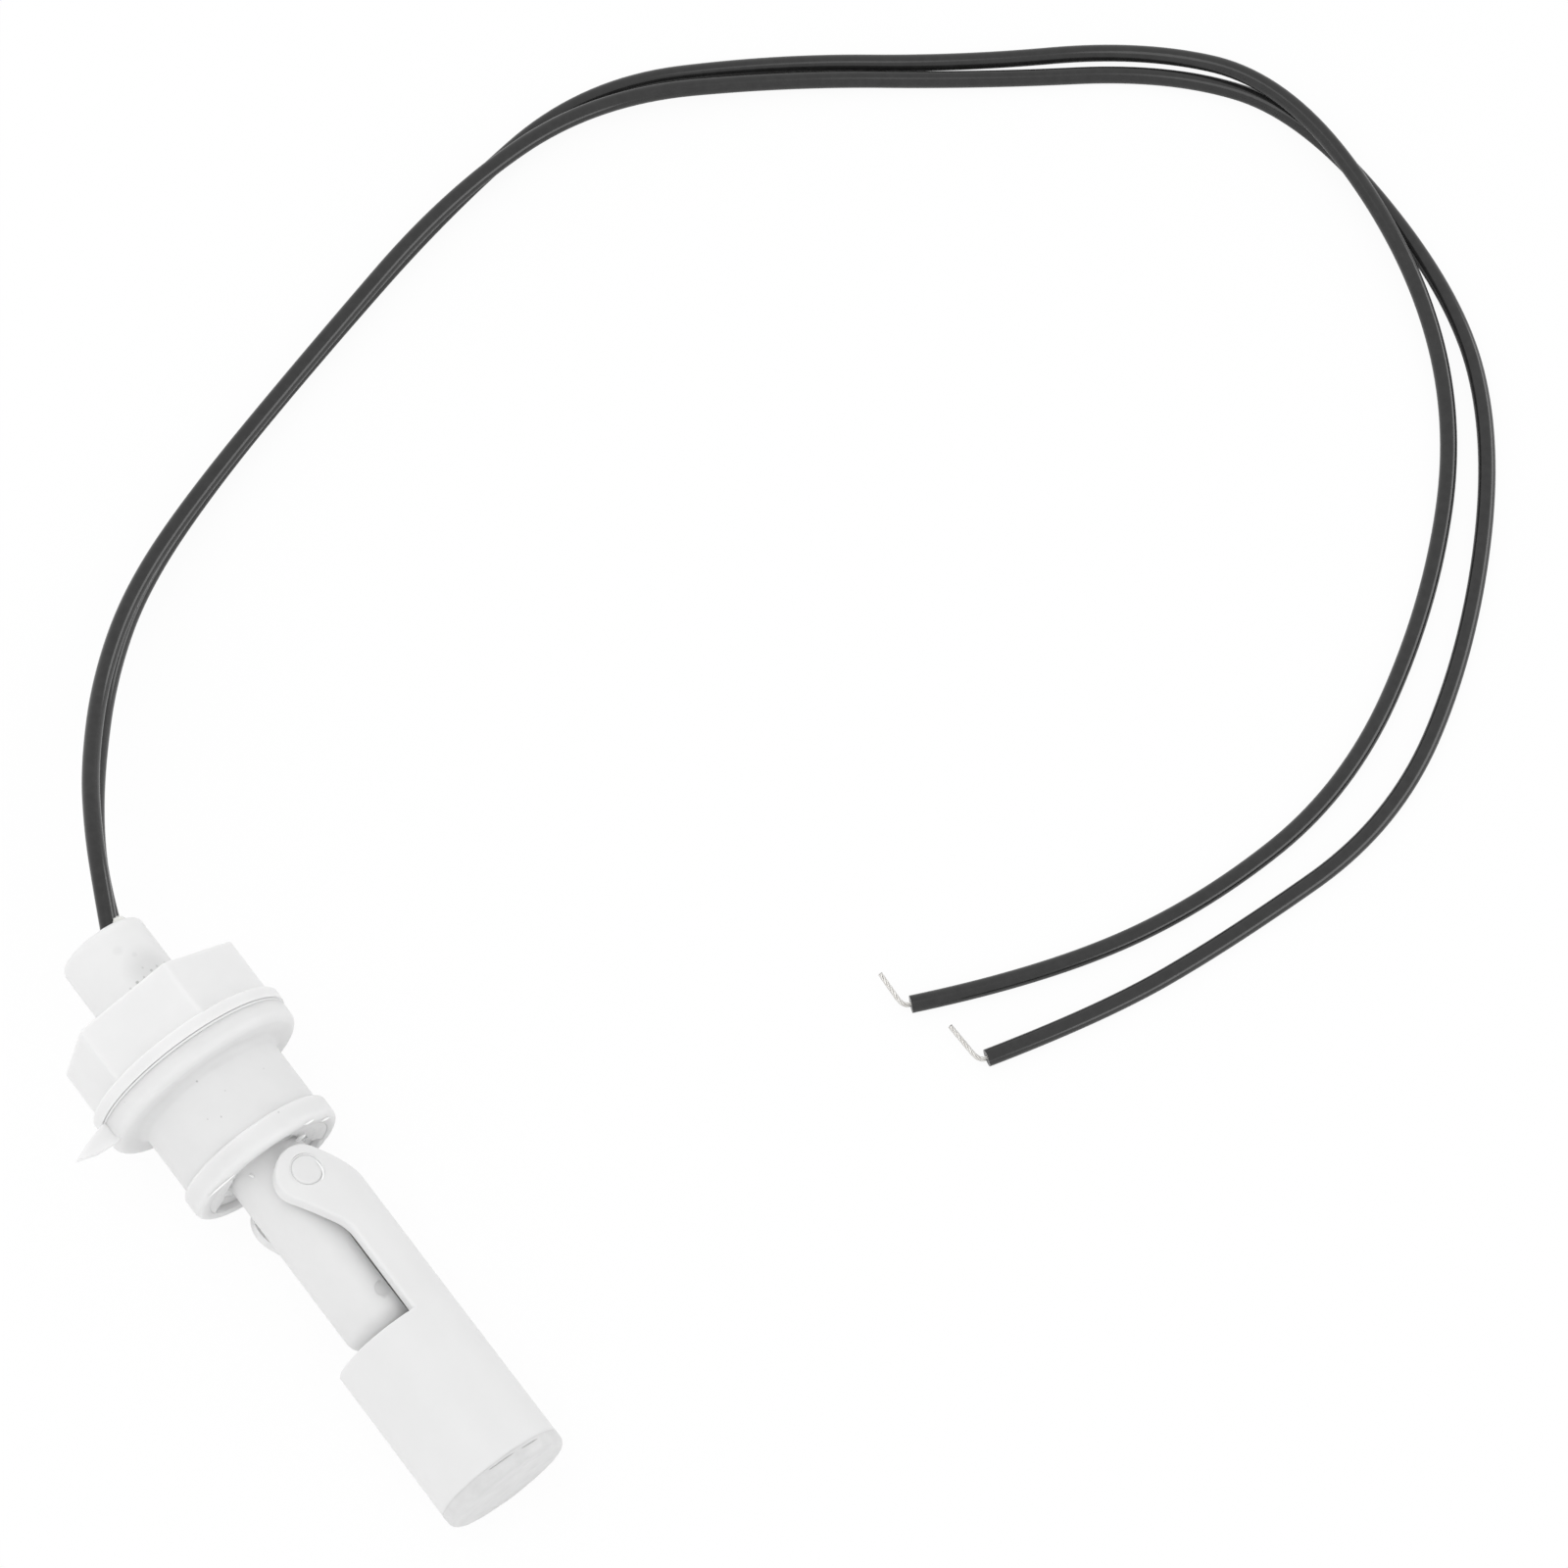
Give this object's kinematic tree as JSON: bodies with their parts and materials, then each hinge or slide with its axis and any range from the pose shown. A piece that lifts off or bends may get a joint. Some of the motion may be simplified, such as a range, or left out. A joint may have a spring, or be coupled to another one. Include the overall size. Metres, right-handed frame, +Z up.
{
  "type": "float level switch",
  "caption": "Small side-mounted float level switch with a hexagonal head, a silicone grommet, a hinged float with a half shell and two loose wires.",
  "frame": {"origin": "on the surface the switch lies on, under the middle of its box without the loose wires", "axes": "+X from the wire boss to the float, +Y to the side the float's half shell is on and the wires trail to, +Z up"},
  "size_m": [0.1465, 0.2099, 0.0266],
  "materials": {
    "white_plastic": "smooth moulded",
    "float_plastic": "smooth moulded",
    "silicone": "soft satin, slightly translucent",
    "jacket": "satin PVC",
    "tinned_core": "tinned, dull silver",
    "potting": "cast, glossy",
    "magnet": "sintered",
    "glass": "clear",
    "reed_metal": "plated",
    "solder": "bright",
    "sleeve": "shrunk"
  },
  "bodies": {
    "stem_body": {"housing": "white_plastic", "grommet": "silicone", "potting": "potting", "reed_glass": "glass", "reed_blade_a": "reed_metal", "reed_blade_b": "reed_metal", "shrink_sleeve_b": "sleeve", "tail_a": "jacket", "tail_b": "jacket", "core_a": "tinned_core", "core_b": "tinned_core", "solder_joint_a": "solder", "solder_joint_b": "solder", "wire_a": "jacket", "wire_b": "jacket", "bare_end_a": "tinned_core", "bare_end_b": "tinned_core"},
    "float_body": {"float_shell": "float_plastic", "float_cap": "float_plastic", "magnet": "magnet"}
  },
  "joints": [
    {"name": "float_pivot", "type": "hinge", "parent": "stem_body", "child": "float_body", "pos_m": [-0.00212, 0.00267, 0.01156], "axis": [0.0787, 0.2823, 0.9561], "range_deg": [0, 50]}
  ]
}
